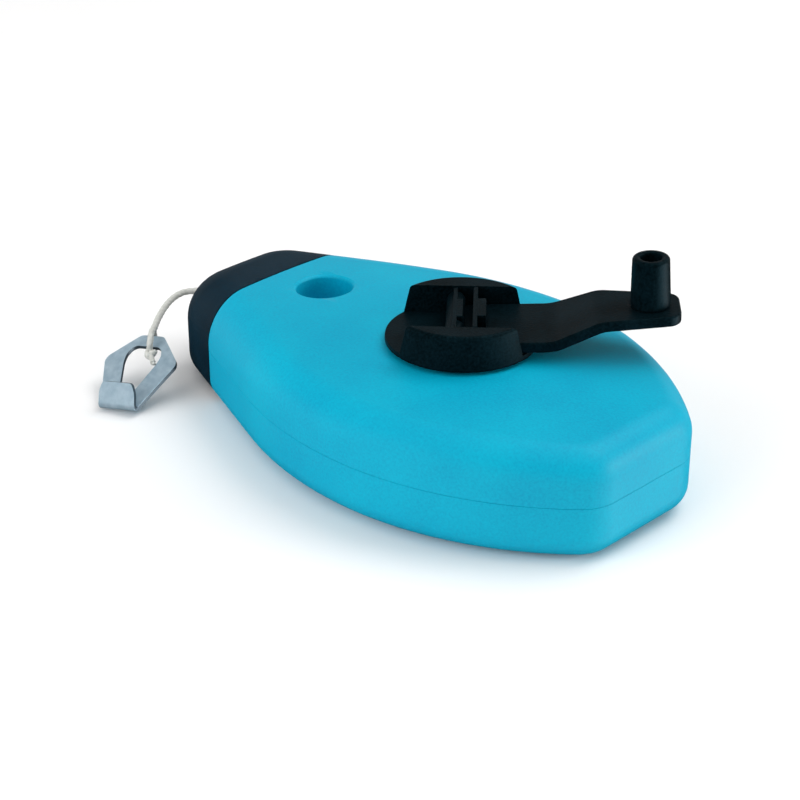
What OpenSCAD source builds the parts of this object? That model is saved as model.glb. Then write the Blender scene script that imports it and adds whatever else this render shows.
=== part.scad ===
// Chalk line reel: a hand reel that draws a line through powdered chalk.
// Millimetres. Z is the spool axis, Z = 0 is the surface the case rests on,
// and the nose of the case points to -X.

/* [Case] */
// Half of the greatest width of the case
case_half_w = 35.6; // [34:0.1:40]
// Distance of the widest place from the spool axis, toward the tail
widest_x = -2.7; // [-4:0.1:0]
// Side radius of the case in front of its widest place
front_side_r = 79.4; // [75:0.1:95]
// Side radius of the case behind its widest place
rear_side_r = 70.3; // [65:0.1:75]
// Distance from the spool axis to the tail face
tail_len = 48.4; // [47:0.1:52]
// Radius of the two upright tail corners
tail_corner_r = 8.9; // [8.5:0.1:12]
// Distance from the spool axis to the tip of the nose
nose_len = 71.7; // [71:0.1:78]
// Angle that the straight sides of the nose draw in by
nose_taper = 21.4; // [20:0.1:23]
// Radius of the two corners of the nose
nose_corner_r = 12.2; // [11:0.1:15]
// Height of the case at the spool axis
case_h = 26; // [26:0.5:30]
// Height of the joint between the two shells
parting_z = 12.6; // [11.5:0.1:13]
// Radius of the rounded bottom edge
bottom_r = 5.5; // [5:0.1:6.2]
// Radius of the rounded top edge, from the spool axis to the tail
top_r = 5.9; // [5:0.1:6.4]
// Radius of the rounded top edge at the nose
nose_top_r = 9.4; // [8:0.1:9.6]
// Crown radius of the top, from the spool axis to the tail
crown_tail_r = 418; // [350:1:500]
// Crown radius of the top, from the spool axis to the nose
crown_nose_r = 803; // [600:1:1000]
// Crown radius of the top across the width
crown_side_r = 284; // [260:1:400]
// Wall thickness of the shells
wall = 2.4; // [2:0.1:2.6]
// Height of the lip that joins the shells
lip_h = 1.8; // [1.2:0.1:2.2]
// Depth of the shadow groove along the joint
seam = 0.35; // [0.2:0.05:0.5]

/* [Nose cap] */
// Distance from the spool axis to the edge of the nose cap
cap_edge = 53; // [52:0.5:57]
// Length of the spigot that plugs into the case
spigot_len = 8; // [6:0.5:9]
// Wall of the spigot
spigot_wall = 1.6; // [1.2:0.1:2]
// Height of the line where it leaves the case
line_z = 12.5; // [12:0.5:13]
// Bore radius of the line eyelet
eyelet_bore_r = 1.7; // [1.6:0.05:2]
// Thickness of the felt wiper
felt_t = 3; // [2:0.5:3.5]

/* [Line and hook] */
// Diameter of the chalk line
line_d = 1.5; // [1.2:0.1:1.6]
// Turns in the outer layer on the spool
line_turns = 5; // [3:1:5]
// Thickness of the hook plate
hook_t = 1; // [0.8:0.1:1.2]
// Width of the hook plate at its widest
hook_w = 17.2; // [15:0.1:18]
// Length of the claw of the hook
claw_len = 5.7; // [5:0.1:6]

/* [Spool] */
// Radius of the spool flanges
flange_r = 30; // [28:0.5:30.5]
// Thickness of a spool flange
flange_t = 1.5; // [1.2:0.1:1.8]
// Radius of the spool core
core_r = 12; // [11:0.5:14]
// Outer radius of the wound line
wound_r = 25.5; // [22:0.5:26]

/* [Crank] */
// Crank angle from the tail toward +Y, as it stands
crank_angle = 42; // [0:1:359]
// Radius of the crank hub at its base
hub_r = 15.6; // [15:0.1:16]
// Radius of the crank hub at its top
hub_top_r = 14.5; // [14:0.1:14.8]
// Height of the hub above the top of the case
hub_h = 7.5; // [7.5:0.1:8.5]
// Half width of the channel through the hub
channel_half_w = 9.55; // [9:0.05:9.8]
// Distance from the spool axis to the knob axis
knob_reach = 37.2; // [36:0.1:38]
// Outer radius of the knob at its top
knob_r = 3.7; // [3.4:0.1:4.3]
// How much wider the knob is at its foot, on the radius
knob_flare = 0.3; // [0.1:0.05:0.5]
// Height of the knob
knob_h = 10.3; // [9:0.1:11]
// Thickness of the crank arm
arm_t = 2.2; // [1.8:0.1:2.3]
// Rise of the crank arm over its bend
arm_rise = 3.45; // [3.2:0.05:3.8]
// Angle above level at which the arm stands when it is swung out
arm_lift = 2.4; // [1.6:0.1:4]
// Distance of the fold axis behind the spool axis
fold_back = 1.4; // [1.2:0.1:1.6]

/* [Hidden] */
$fn = 64;
// Working clearances
run_gap = 0.05;
part_gap = 0.3;
seat_gap = 0.1;
spigot_gap = 0.3;
// Case heights
pad_h = 0.4;
shell_floor = pad_h + wall;
pad_inset = bottom_r + pad_h;
lip_out = wall / 2 + 0.05;
lip_fit = 0.15;
inner_r = 2.5;
top_ramp = 55;
top_steps = [0, 18, 36, 54, 72, 90];
// Case plan, worked from tangent arcs
side_c1 = [widest_x, case_half_w - front_side_r];
side_c2 = [widest_x, case_half_w - rear_side_r];
tail_cx = tail_len - tail_corner_r;
tail_cy = side_c2.y + sqrt(pow(rear_side_r - tail_corner_r, 2) - pow(tail_cx - widest_x, 2));
tail_a = atan2(tail_cy - side_c2.y, tail_cx - widest_x);
nose_a = 90 + nose_taper;
nose_n = [cos(nose_a), sin(nose_a)];
nose_cx = nose_corner_r - nose_len;
side_d = nose_n * side_c1 + front_side_r;
nose_cy = (side_d - nose_corner_r - nose_n.x * nose_cx) / nose_n.y;
beyond = 2 * (nose_len + tail_len);
// Parking well for the folded knob
hub_gap = 0.3;
hub_base = case_h + hub_gap;
hub_floor = hub_base + 1.2;
hub_top = case_h + hub_h;
pivot_z = (hub_floor + hub_top) / 2 + 0.1;
well_x = -(knob_reach + 2 * fold_back);
well_r = 6;
well_wall = 2;
arm_root_z = pivot_z - 1.1;
arm_top_z = arm_root_z + arm_rise;
knob_z = arm_top_z + seat_gap;
knob_top = knob_z + knob_h;
well_floor = 2 * pivot_z - knob_top - 1.2;
// Screws that hold the shells together
boss_at = [[35, 15], [35, -15], [-31, 23], [-31, -23]];
boss_r = 4;
upper_boss_r = 3.4;
screw_head_r = 2.6;
screw_head_h = 1.8;
screw_seat = 6;
screw_r = 1.2;
screw_len = 13;
slot_w = 0.6;
slot_len = 3.2;
slot_depth = 0.8;
// Spool stack
post_r = 5;
post_top = shell_floor + 4;
step_r = 8;
step_top = shell_floor + 0.6;
washer_t = 0.6;
spool_z = step_top + washer_t + seat_gap;
spool_h = 15.2;
spool_top = spool_z + spool_h;
roof_h = 5.4;
roof_z = spool_z + roof_h;
roof_t = 1.5;
stem_w = 7;
collar_r = 11;
collar_gap = 0.6;
collar_z = spool_top + collar_gap;
journal_r = 6;
seal_r = 9.5;
seal_h = 1.4;
spigot_r = 8;
hub_screw_r = 1.5;
hub_screw_len = 10;
hub_head_r = 2.7;
hub_head_h = 1.8;
hub_washer_r = 3.4;
hub_washer_t = 0.5;
// Wound line
wind_rings = 24;
wind_room = 0.45;
wind_lo = spool_z + flange_t + line_d / 2 + wind_room;
wind_hi = spool_top - flange_t - line_d / 2 - wind_room;
wind_r = wound_r - line_d / 2;
wind_pitch = (wind_hi - wind_lo) / line_turns;
core_out = wind_r * cos(180 / wind_rings) - line_d / 2 - seat_gap;
// Eyelet and felt in the tip of the cap
cap_inset = wall + spigot_gap;
cap_inner = cap_inset + spigot_wall;
tip_wall = 2.5;
throat_r = 4;
eyelet_wall = 0.7;
eyelet_lip = 0.7;
eyelet_len = 2;
felt_w = 10;
felt_h = 7;
felt_below = 5;
felt_x = cap_inner + seat_gap - nose_len;
// Line inside the case: it leaves the spool on a tangent and crosses the eyelet at its middle
cross_at = [(eyelet_len - eyelet_lip) / 2 - nose_len, 0, line_z];
lead_gap = 0.25;
lead_r = wound_r + lead_gap + line_d / 2;
lead_a = asin(lead_r / -cross_at.x);
lead_dir = [-cos(lead_a), -sin(lead_a), 0];
lead_start = [-lead_r * sin(lead_a), lead_r * cos(lead_a), line_z];
run_back = 46;
run_out = 2;
// Free line from the eyelet to the loop on the hook, points on its path
line_path = [
    cross_at + run_out * lead_dir, [-77, -2.2, 12.5], [-78.9, -4, 12.5], [-79.9, -6.3, 12.5],
    [-79.7, -9.1, 12.3], [-78.2, -12.6, 12], [-75.8, -16.5, 11.6], [-73.6, -19.7, 11.4],
    [-72.2, -21.6, 11.25]];
path_steps = 4;
line_sides = 8;
// Hook: middle of its top bar, and how the plate leans with its fold on the ground
hook_at = [-71.4, -22.7, 8.65];
hook_turn = [-66.5, -5.5, 23.5];
bar_h = 3.1;
bar_half_w = 2.7;
loop_r = 3;
knot_r = 1.4;
knot_off = [1.3, -0.3, -3.3];
claw_at = 19.35;
claw_bend = 135;
claw_half_w = 4.35;
claw_draw = 0.9;
claw_shoulder = 0.55;
fold_over = 0.04;
fold_half_w = claw_half_w - 0.06;
claw_root_w = claw_half_w - 0.12;

function arc(c, r, a0, a1, n) =
    [for (i = [1:n]) let (a = a0 + (a1 - a0) * i / n) c + r * [cos(a), sin(a)]];

// Half of the case outline, inset by o, from the middle of the tail to the nose
function half_outline(o) = let (
    a = side_c1 + (front_side_r - o) * nose_n,
    b = [nose_cx, nose_cy] + (nose_corner_r - o) * nose_n) concat(
    [[tail_len - o, 0], [tail_len - o, tail_cy / 2], [tail_len - o, tail_cy]],
    arc([tail_cx, tail_cy], tail_corner_r - o, 0, tail_a, 5),
    arc(side_c2, rear_side_r - o, tail_a, 90, 7),
    arc(side_c1, front_side_r - o, 90, nose_a, 4),
    [a + (b - a) / 3, a + (b - a) * 2 / 3, b],
    arc([nose_cx, nose_cy], nose_corner_r - o, nose_a, 180, 6));

function outline(o) = let (h = half_outline(o), n = len(h))
    concat(h, [for (i = [n - 1:-1:1]) [h[i].x, -h[i].y]]);

// Height of the crowned top over a point of the plan
function crown_z(p) = case_h - p.y * p.y / (2 * crown_side_r)
    - p.x * p.x / (2 * (p.x > 0 ? crown_tail_r : crown_nose_r));

// Radius of the top edge, which grows from the spool axis to the nose
function top_at(x) = top_r + (nose_top_r - top_r) * min(max(-x / top_ramp, 0), 1);

// Rings of the loft: at a fixed height, at an angle of the top edge inset by d, or drawn in on the top
function flat_ring(o, z) = [for (p = outline(o)) [p.x, p.y, z]];
function edge_ring(d, a) = let (base = outline(0), step = outline(1) - base)
    [for (i = [0:len(base) - 1]) let (
        r = top_at(base[i].x) - d,
        p = base[i] + (d + r * (1 - cos(a))) * step[i])
        [p.x, p.y, crown_z(p) - d - r * (1 - sin(a))]];
function skin_ring(d, k) = [for (p = edge_ring(d, 90)) let (q = [k * p.x, k * p.y])
    [q.x, q.y, crown_z(q) - d]];

// Half of the section of the case at the cap edge, inset by d
function side_y(x, o) = (side_d - o - nose_n.x * x) / nose_n.y;
function mouth_half(d) = let (
    rb = bottom_r - d,
    rt = nose_top_r - d,
    low = [for (a = [0, 25, 50, 70, 90])
        [side_y(-cap_edge, d + rb * (1 - sin(a))), pad_h + d + rb * (1 - cos(a))]],
    high = [for (a = top_steps) let (y = side_y(-cap_edge, d + rt * (1 - cos(a))))
        [y, crown_z([-cap_edge, y]) - d - rt * (1 - sin(a))]],
    flat = [for (k = [0.6, 0.2]) let (y = k * side_y(-cap_edge, nose_top_r))
        [y, crown_z([-cap_edge, y]) - d]]) concat(low, high, flat);

function bottom_edge(o, z, r) = [for (a = [0, 25, 50, 70, 90])
    flat_ring(o + r * (1 - sin(a)), z + r * (1 - cos(a)))];
function top_edge(d) = [for (a = top_steps) edge_ring(d, a)];
function top_skin(d) = [for (k = [0.75, 0.5, 0.25]) skin_ring(d, k)];

// A closed solid through a list of rings, with a middle point at each end
module loft(rings, first, last) {
    n = len(rings[0]);
    m = len(rings);
    pts = concat([first], [for (r = rings) each r], [last]);
    end = m * n + 1;
    sides = [for (j = [0:m - 2], i = [0:n - 1]) let (
        a = 1 + j * n + i,
        b = 1 + j * n + (i + 1) % n) each [[a, a + n, b], [b, a + n, b + n]]];
    starts = [for (i = [0:n - 1]) [0, 1 + i, 1 + (i + 1) % n]];
    ends = [for (i = [0:n - 1]) [end, end - n + (i + 1) % n, end - n + i]];
    polyhedron(pts, concat(starts, sides, ends), convexity = 6);
}

// The closed outer form of the case, inset all round by d
module case_form(d) {
    rings = concat(bottom_edge(d, pad_h + d, bottom_r - d), top_edge(d), top_skin(d));
    loft(rings, [0, 0, pad_h + d], [0, 0, case_h - d]);
}

module at_bosses() {
    for (p = boss_at) translate([p.x, p.y, 0]) children();
}

module behind(x) {
    translate([-x, -beyond / 2, -beyond / 2]) cube(beyond);
}

// A flat shape given by half of its outline, mirrored across its middle
module mirrored(h) {
    n = len(h);
    polygon(concat(h, [for (i = [n - 1:-1:0]) [-h[i].x, h[i].y]]));
}

module ring(r_out, r_in, z, h) {
    translate([0, 0, z]) difference() {
        cylinder(r = r_out, h = h);
        translate([0, 0, -1]) cylinder(r = r_in, h = h + 2);
    }
}

// A round bar from point a to point b
module bar(a, b, r) {
    v = b - a;
    translate(a) rotate([0, acos(v.z / norm(v)), atan2(v.y, v.x)]) cylinder(r = r, h = norm(v));
}

module lower_cup() {
    rings = concat(
        bottom_edge(0, pad_h, bottom_r),
        [flat_ring(0, parting_z - seam), flat_ring(seam, parting_z)],
        [flat_ring(lip_out, parting_z), flat_ring(lip_out, parting_z + lip_h)],
        [flat_ring(wall, parting_z + lip_h), flat_ring(wall, shell_floor + inner_r)],
        [flat_ring(wall + inner_r * 0.3, shell_floor + inner_r * 0.3)],
        [flat_ring(wall + inner_r, shell_floor)]);
    loft(rings, [0, 0, pad_h], [0, 0, shell_floor]);
}

module upper_cup() {
    rim = parting_z + lip_h + 0.2;
    rings = concat(
        [for (k = [0.25, 0.5, 0.75]) skin_ring(wall, k)],
        [for (i = [len(top_steps) - 1:-1:0]) edge_ring(wall, top_steps[i])],
        [flat_ring(wall, rim)],
        [flat_ring(lip_out - lip_fit, rim), flat_ring(lip_out - lip_fit, parting_z)],
        [flat_ring(seam, parting_z), flat_ring(0, parting_z + seam)],
        top_edge(0), top_skin(0));
    loft(rings, [0, 0, case_h - wall], [0, 0, case_h]);
}

module lower_shell() {
    color("deepskyblue") difference() {
        union() {
            intersection() {
                lower_cup();
                behind(cap_edge);
            }
            linear_extrude(pad_h + 0.4) intersection() {
                polygon(outline(pad_inset));
                translate([4 - cap_edge, -beyond / 2]) square(beyond);
            }
            translate([0, 0, pad_h + 1]) cylinder(r = post_r, h = post_top - pad_h - 1);
            translate([0, 0, pad_h + 1]) cylinder(r = step_r, h = step_top - pad_h - 1);
            at_bosses() translate([0, 0, pad_h + 1]) cylinder(r = boss_r, h = parting_z - pad_h - 1);
        }
        at_bosses() {
            translate([0, 0, -1]) cylinder(r = screw_head_r + part_gap, h = screw_seat + 1);
            cylinder(r = screw_r + part_gap, h = parting_z + 1);
        }
    }
}

module upper_shell() {
    color("deepskyblue") difference() {
        union() {
            intersection() {
                upper_cup();
                behind(cap_edge);
            }
            translate([0, 0, collar_z]) cylinder(r = collar_r, h = case_h - 1 - collar_z);
            translate([well_x, 0, well_floor - well_wall])
                cylinder(r = well_r + well_wall, h = crown_z([well_x, 0]) - 1.4 - well_floor + well_wall);
            for (p = boss_at) translate([p.x, p.y, parting_z + run_gap])
                cylinder(r = upper_boss_r, h = crown_z(p) - 1.4 - parting_z);
        }
        cylinder(r = journal_r + run_gap, h = case_h + 1);
        translate([0, 0, collar_z - 1]) cylinder(r = seal_r + seat_gap, h = seal_h + 1.1);
        translate([well_x, 0, well_floor]) cylinder(r = well_r, h = case_h);
        at_bosses() cylinder(r = screw_r + 0.02, h = screw_seat + screw_len + 1);
    }
}

module case_screws() {
    color("silver") at_bosses() {
        translate([0, 0, screw_seat - screw_head_h - 0.02]) difference() {
            cylinder(r = screw_head_r, h = screw_head_h);
            for (a = [0, 90]) rotate([0, 0, a]) translate([-slot_w / 2, -slot_len / 2, -slot_depth])
                cube([slot_w, slot_len, 2 * slot_depth]);
        }
        translate([0, 0, screw_seat - 0.5]) cylinder(r = screw_r, h = screw_len);
    }
}

module thrust_washer() {
    color("white") ring(step_r, post_r + 0.2, step_top + 0.02, washer_t);
}

module shaft_seal() {
    color("dimgray") ring(seal_r, journal_r + 0.15, collar_z + 0.05, seal_h);
}

module line_lead() {
    color("ivory") bar(lead_start, cross_at - (run_back + seat_gap) * lead_dir, line_d / 2);
}

module spool_drum() {
    color("white") difference() {
        union() {
            translate([0, 0, spool_z]) cylinder(r = flange_r, h = flange_t);
            translate([0, 0, spool_z]) cylinder(r = core_r, h = spool_top - flange_t - spool_z);
            translate([0, 0, spool_z]) cylinder(r = spigot_r, h = spool_top - spool_z);
        }
        translate([0, 0, spool_z - 1]) cylinder(r = post_r + run_gap, h = roof_z - spool_z + 1);
        cylinder(r = hub_screw_r + 0.2, h = spool_top);
        rotate([0, 0, crank_angle]) translate([-stem_w / 2 - run_gap, -stem_w / 2 - run_gap, roof_z + roof_t])
            cube([stem_w + 2 * run_gap, stem_w + 2 * run_gap, spool_h]);
    }
}

module spool_flange() {
    color("white") ring(flange_r, spigot_r + run_gap, spool_top - flange_t + 0.02, flange_t - 0.02);
}

module wound_core() {
    color("ivory") ring(core_out, core_r + run_gap, spool_z + flange_t + seat_gap,
        spool_h - 2 * flange_t - 2 * seat_gap);
}

// A tube of a few sides through points, each ring square to the path there
function unit(v) = v / norm(v);
function tangent(p, i) = unit(p[min(i + 1, len(p) - 1)] - p[max(i - 1, 0)]);
function tube_ring(c, t, r, n) = let (
    h = norm([t.x, t.y]) > 0.2 ? [0, 0, 1] : [1, 0, 0],
    u = unit(cross(t, h)),
    w = cross(t, u)) [for (k = [0:n - 1]) c + r * (cos(360 * k / n) * u + sin(360 * k / n) * w)];

module tube(p, r, n) {
    m = len(p);
    pts = concat([p[0]], [for (i = [0:m - 1]) each tube_ring(p[i], tangent(p, i), r, n)], [p[m - 1]]);
    end = m * n + 1;
    sides = [for (j = [0:m - 2], i = [0:n - 1]) let (
        a = 1 + j * n + i,
        b = 1 + j * n + (i + 1) % n) each [[a, a + n, b], [b, a + n, b + n]]];
    starts = [for (i = [0:n - 1]) [0, 1 + i, 1 + (i + 1) % n]];
    ends = [for (i = [0:n - 1]) [end, end - n + (i + 1) % n, end - n + i]];
    polyhedron(pts, concat(starts, sides, ends), convexity = 8);
}

// Outer layer on the spool: one tube, its ends straight for one diameter
wind_points = [for (i = [0:line_turns * wind_rings]) let (
    a = 360 * i / wind_rings,
    z = wind_lo + wind_pitch * i / wind_rings) [wind_r * cos(a), wind_r * sin(a), z]];
wind_path = concat(
    [wind_points[0] + [0, -line_d, 0]], wind_points,
    [wind_points[line_turns * wind_rings] + [0, line_d, 0]]);
wind_gap = min([for (i = [0:6:len(wind_points) - 1], j = [i + 12:len(wind_points) - 1])
    norm(wind_points[i] - wind_points[j])]) - line_d;
echo(least_gap_between_turns = wind_gap);

module wound_line() {
    color("ivory") tube(wind_path, line_d / 2, 6);
}

module crank_hub() {
    edge = 0.8;
    color("dimgray") rotate([0, 0, crank_angle]) difference() {
        union() {
            rotate_extrude() polygon(concat(
                [[0, hub_base], [hub_r - 0.3, hub_base], [hub_r, hub_base + 0.5]],
                [for (a = [10, 30, 50, 70, 90])
                    [hub_top_r - edge + edge * cos(a), hub_top - edge + edge * sin(a)]],
                [[0, hub_top]]));
            translate([0, 0, spool_top + 0.1]) cylinder(r = journal_r, h = hub_base - spool_top);
            translate([-stem_w / 2, -stem_w / 2, roof_z + roof_t + seat_gap])
                cube([stem_w, stem_w, hub_base - roof_z - roof_t]);
        }
        translate([-50, -channel_half_w, hub_floor]) cube([100, 2 * channel_half_w, 50]);
        translate([-fold_back, -12, pivot_z]) rotate([-90, 0, 0]) cylinder(r = 1.4 + run_gap, h = 24);
        cylinder(r = hub_screw_r, h = roof_z + hub_screw_len);
    }
}

module hub_screw() {
    color("silver") {
        translate([0, 0, roof_z - hub_washer_t - hub_head_h - 0.02]) cylinder(r = hub_head_r, h = hub_head_h);
        translate([0, 0, roof_z - hub_washer_t - 1]) cylinder(r = hub_screw_r - 0.02, h = hub_screw_len);
    }
}

module hub_washer() {
    color("silver") ring(hub_washer_r, hub_screw_r + seat_gap, roof_z - hub_washer_t - 0.01, hub_washer_t);
}

// Plan of the arm: half widths at the root, past the bend and at the end
arm_half_w = channel_half_w - 0.25;
bend_in = 18.2;
bend_out = 27.5;
arm_tip = knob_reach + 5.9;
tip_r = 3;
tip_half_w = 5.9;
arm_plan = let (
    side = [[-fold_back - 2.4, arm_half_w], [bend_in, arm_half_w], [bend_out, arm_half_w - 1.4]],
    tip = [for (a = [80, 60, 40, 20, 0]) [arm_tip - tip_r, tip_half_w - tip_r] + tip_r * [cos(a), sin(a)]],
    h = concat(side, tip), n = len(h))
    concat(h, [for (i = [n - 1:-1:0]) [h[i].x, -h[i].y]]);

// The underside of the root is relieved over the floor of the channel
root_relief = 0.6;

module arm_profile() {
    polygon([[-fold_back, arm_root_z - arm_t + root_relief], [9, arm_root_z - arm_t + root_relief],
        [12, arm_root_z - arm_t], [bend_in + 0.6, arm_root_z - arm_t],
        [bend_out + 0.6, arm_top_z - arm_t], [60, arm_top_z - arm_t], [60, arm_top_z],
        [bend_out - 0.4, arm_top_z], [bend_in - 0.4, arm_root_z], [-fold_back, arm_root_z]]);
}

// Turned to where the crank stands, with the arm at its lift
module on_arm() {
    rotate([0, 0, crank_angle]) translate([-fold_back, 0, pivot_z]) rotate([0, -arm_lift, 0])
        translate([fold_back, 0, -pivot_z]) children();
}

module arm_cross(x, w, half, top) {
    translate([x, -half, arm_root_z - 1]) cube([w, 2 * half, top - arm_root_z + 1]);
}

module crank_arm() {
    rib_top = hub_top - 0.2;
    color("dimgray") on_arm() difference() {
        union() {
            intersection() {
                translate([0, 50, 0]) rotate([90, 0, 0]) linear_extrude(100) arm_profile();
                linear_extrude(80) polygon(arm_plan);
            }
            translate([-fold_back, -arm_half_w, pivot_z]) rotate([-90, 0, 0])
                cylinder(r = 1.9, h = 2 * arm_half_w);
            translate([-fold_back, -11.5, pivot_z]) rotate([-90, 0, 0]) cylinder(r = 1.4, h = 23);
            arm_cross(-fold_back - 0.45, 0.9, arm_half_w, rib_top);
            arm_cross(-fold_back, 1.6, 4.1, rib_top - 0.1);
            arm_cross(2.2, 0.9, arm_half_w, rib_top);
            arm_cross(2.6, 2.2, 4.1, rib_top - 0.1);
        }
        translate([knob_reach, 0, 0]) cylinder(r = 1.6, h = 80);
    }
}

module knob_pin() {
    color("silver") on_arm() translate([knob_reach, 0, 0]) {
        translate([0, 0, arm_top_z - arm_t]) cylinder(r = 1.59, h = knob_h - 3.5 + arm_t);
        translate([0, 0, knob_z + knob_h - 4.4]) cylinder(r = 1.95, h = 1);
    }
}

module crank_knob() {
    edge = 0.7;
    color("dimgray") on_arm() translate([knob_reach, 0, knob_z])
        rotate_extrude() polygon(concat(
            [[1.64, 0], [knob_r + knob_flare, 0], [knob_r + knob_flare, 0.8]],
            [for (a = [0, 25, 50, 75]) [knob_r - edge + edge * cos(a), knob_h - edge + edge * sin(a)]],
            [[2.45, knob_h], [2.1, knob_h - 0.4], [2.1, knob_h - 4.5], [1.64, knob_h - 4.5]]));
}

// A length of the section at the cap edge, inset by d, from x0 to x1
module mouth_bar(d, x0, x1) {
    translate([x0, 0, 0]) rotate([90, 0, 90]) linear_extrude(x1 - x0) mirrored(mouth_half(d));
}

module felt_block(gap) {
    translate([felt_x - gap, -felt_w / 2 - gap, line_z - felt_below - gap])
        cube([felt_t + 2 * gap, felt_w + 2 * gap, felt_h + 2 * gap]);
}

module nose_cap() {
    bore_r = eyelet_bore_r + eyelet_wall;
    overlap = 3;
    color("darkslategray") difference() {
        union() {
            difference() {
                case_form(0);
                behind(cap_edge + part_gap);
                case_form(cap_inner);
            }
            difference() {
                mouth_bar(cap_inset, -cap_edge - overlap, spigot_len - cap_edge);
                mouth_bar(cap_inner, -cap_edge - overlap - 1, spigot_len - cap_edge + 1);
            }
        }
        translate([well_x, 0, well_floor - well_wall - part_gap])
            cylinder(r = well_r + well_wall + part_gap, h = case_h);
        felt_block(seat_gap);
        translate([tip_wall - nose_len, 0, line_z]) rotate([0, 90, 0])
            cylinder(r = throat_r, h = cap_inner - tip_wall + 1);
        translate([-nose_len - 1, 0, line_z]) rotate([0, 90, 0]) cylinder(r = bore_r, h = tip_wall + 2);
    }
}

module wiper_felt() {
    color("gray") difference() {
        felt_block(0);
        bar(cross_at, cross_at - 2 * (cap_inner + felt_t) * lead_dir, line_d / 2 + 0.08);
    }
}

module line_eyelet() {
    b = eyelet_bore_r;
    w = b + eyelet_wall - 0.02;
    lip = [[0, 0.3], [0.3, 0.85], [0.9, 1], [1.5, 0.7], [1.7, 0.35], [1.7, 0.03]];
    color("silver") translate([-nose_len, 0, line_z]) rotate([0, 90, 0]) rotate_extrude()
        polygon(concat([[b, eyelet_len]], [for (p = lip) [b + p.x, -eyelet_lip * p.y]],
            [[w, -0.03 * eyelet_lip], [w, eyelet_len]]));
}

module line_run() {
    color("ivory") bar(cross_at - run_back * lead_dir, cross_at + run_out * lead_dir, line_d / 2);
}

// Free path smoothed through its points, a few rings between each pair
function smooth(p, i, t) = let (
    a = p[max(i - 1, 0)], b = p[i], c = p[i + 1], d = p[min(i + 2, len(p) - 1)])
    0.5 * (2 * b + (c - a) * t + (2 * a - 5 * b + 4 * c - d) * t * t
    + (3 * b - a - 3 * c + d) * t * t * t);
free_path = concat([for (i = [0:len(line_path) - 2], k = [0:path_steps - 1])
    smooth(line_path, i, k / path_steps)], [line_path[len(line_path) - 1]]);

module line_tail() {
    color("ivory") tube(free_path, line_d / 2, line_sides);
}

module line_knot() {
    color("ivory") translate(hook_at) rotate(hook_turn) {
        rotate([0, 90, 0]) rotate_extrude($fn = 12) translate([loop_r, 0]) circle(r = line_d / 2, $fn = 8);
        translate(knot_off) sphere(r = knot_r, $fn = 12);
    }
}

// Hook: half outline of the plate and of its window, from the bar downward
hook_half = [[bar_half_w, bar_h / 2], [5.3, -1.45], [hook_w / 2 - 0.3, -5.05], [hook_w / 2, -6.45],
    [claw_half_w, -claw_at]];
window_half = [[2.6, -bar_h / 2], [3.6, -2.35], [4.2, -4.05], [4, -6.35], [1.8, -14.25], [1, -14.85]];

module hook_sheet() {
    translate([0, hook_t / 2, 0]) rotate([90, 0, 0]) linear_extrude(hook_t) children();
}

module line_hook() {
    color("lightsteelblue") translate(hook_at) rotate(hook_turn) {
        hook_sheet() difference() {
            mirrored(hook_half);
            mirrored(window_half);
        }
        translate([0, 0, -claw_at]) {
            translate([-fold_half_w, 0, 0]) rotate([90, 0, 90]) linear_extrude(2 * fold_half_w)
                polygon([for (a = [11.25 : 22.5 : 348.75]) (hook_t / 2 + fold_over) * [cos(a), sin(a)]]);
            rotate([-claw_bend, 0, 0]) hook_sheet()
                mirrored([[claw_root_w, 0], [claw_root_w, -claw_shoulder * claw_len],
                    [claw_half_w - claw_draw, -claw_len]]);
        }
    }
}

lower_shell();
upper_shell();
case_screws();
thrust_washer();
shaft_seal();
line_lead();
spool_drum();
spool_flange();
wound_core();
wound_line();
crank_hub();
hub_screw();
hub_washer();
crank_arm();
knob_pin();
crank_knob();
nose_cap();
wiper_felt();
line_eyelet();
line_run();
line_tail();
line_knot();
line_hook();
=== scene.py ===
import math

import bmesh
import bpy
from mathutils import Euler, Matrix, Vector


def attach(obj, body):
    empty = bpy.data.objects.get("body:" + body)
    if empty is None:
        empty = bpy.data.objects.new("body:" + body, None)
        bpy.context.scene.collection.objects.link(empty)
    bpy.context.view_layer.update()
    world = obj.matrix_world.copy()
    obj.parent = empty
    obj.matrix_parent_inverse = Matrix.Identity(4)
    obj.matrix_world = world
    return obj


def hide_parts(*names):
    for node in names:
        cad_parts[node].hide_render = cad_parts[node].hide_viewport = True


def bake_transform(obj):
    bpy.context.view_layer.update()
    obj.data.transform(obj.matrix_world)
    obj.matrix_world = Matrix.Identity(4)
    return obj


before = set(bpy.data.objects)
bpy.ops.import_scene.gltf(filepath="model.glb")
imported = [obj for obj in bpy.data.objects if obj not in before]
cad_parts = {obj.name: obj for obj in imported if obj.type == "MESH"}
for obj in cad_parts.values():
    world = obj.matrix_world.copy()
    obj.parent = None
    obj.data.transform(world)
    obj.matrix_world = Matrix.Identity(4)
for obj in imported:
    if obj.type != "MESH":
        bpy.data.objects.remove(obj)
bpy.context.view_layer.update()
scene = bpy.context.scene
mm = 0.001  # pieces are drawn in millimetres and made metres when they are done
print("frame loaded,", len(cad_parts), "nodes")

# camera, at the height and bearing of the photograph
cameraView = {
    "bearing": 44.67, "height": 27.81,  # degrees round from -Y and above the floor
    "point": (0, 0, 26), "distance": 413.7,  # middle of the case top, and how far off it is
    "pixel": (462, 340), "image": 800,  # where that point falls
    "pixelsPerMm": 5, "sensor": 36,
}


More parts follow.
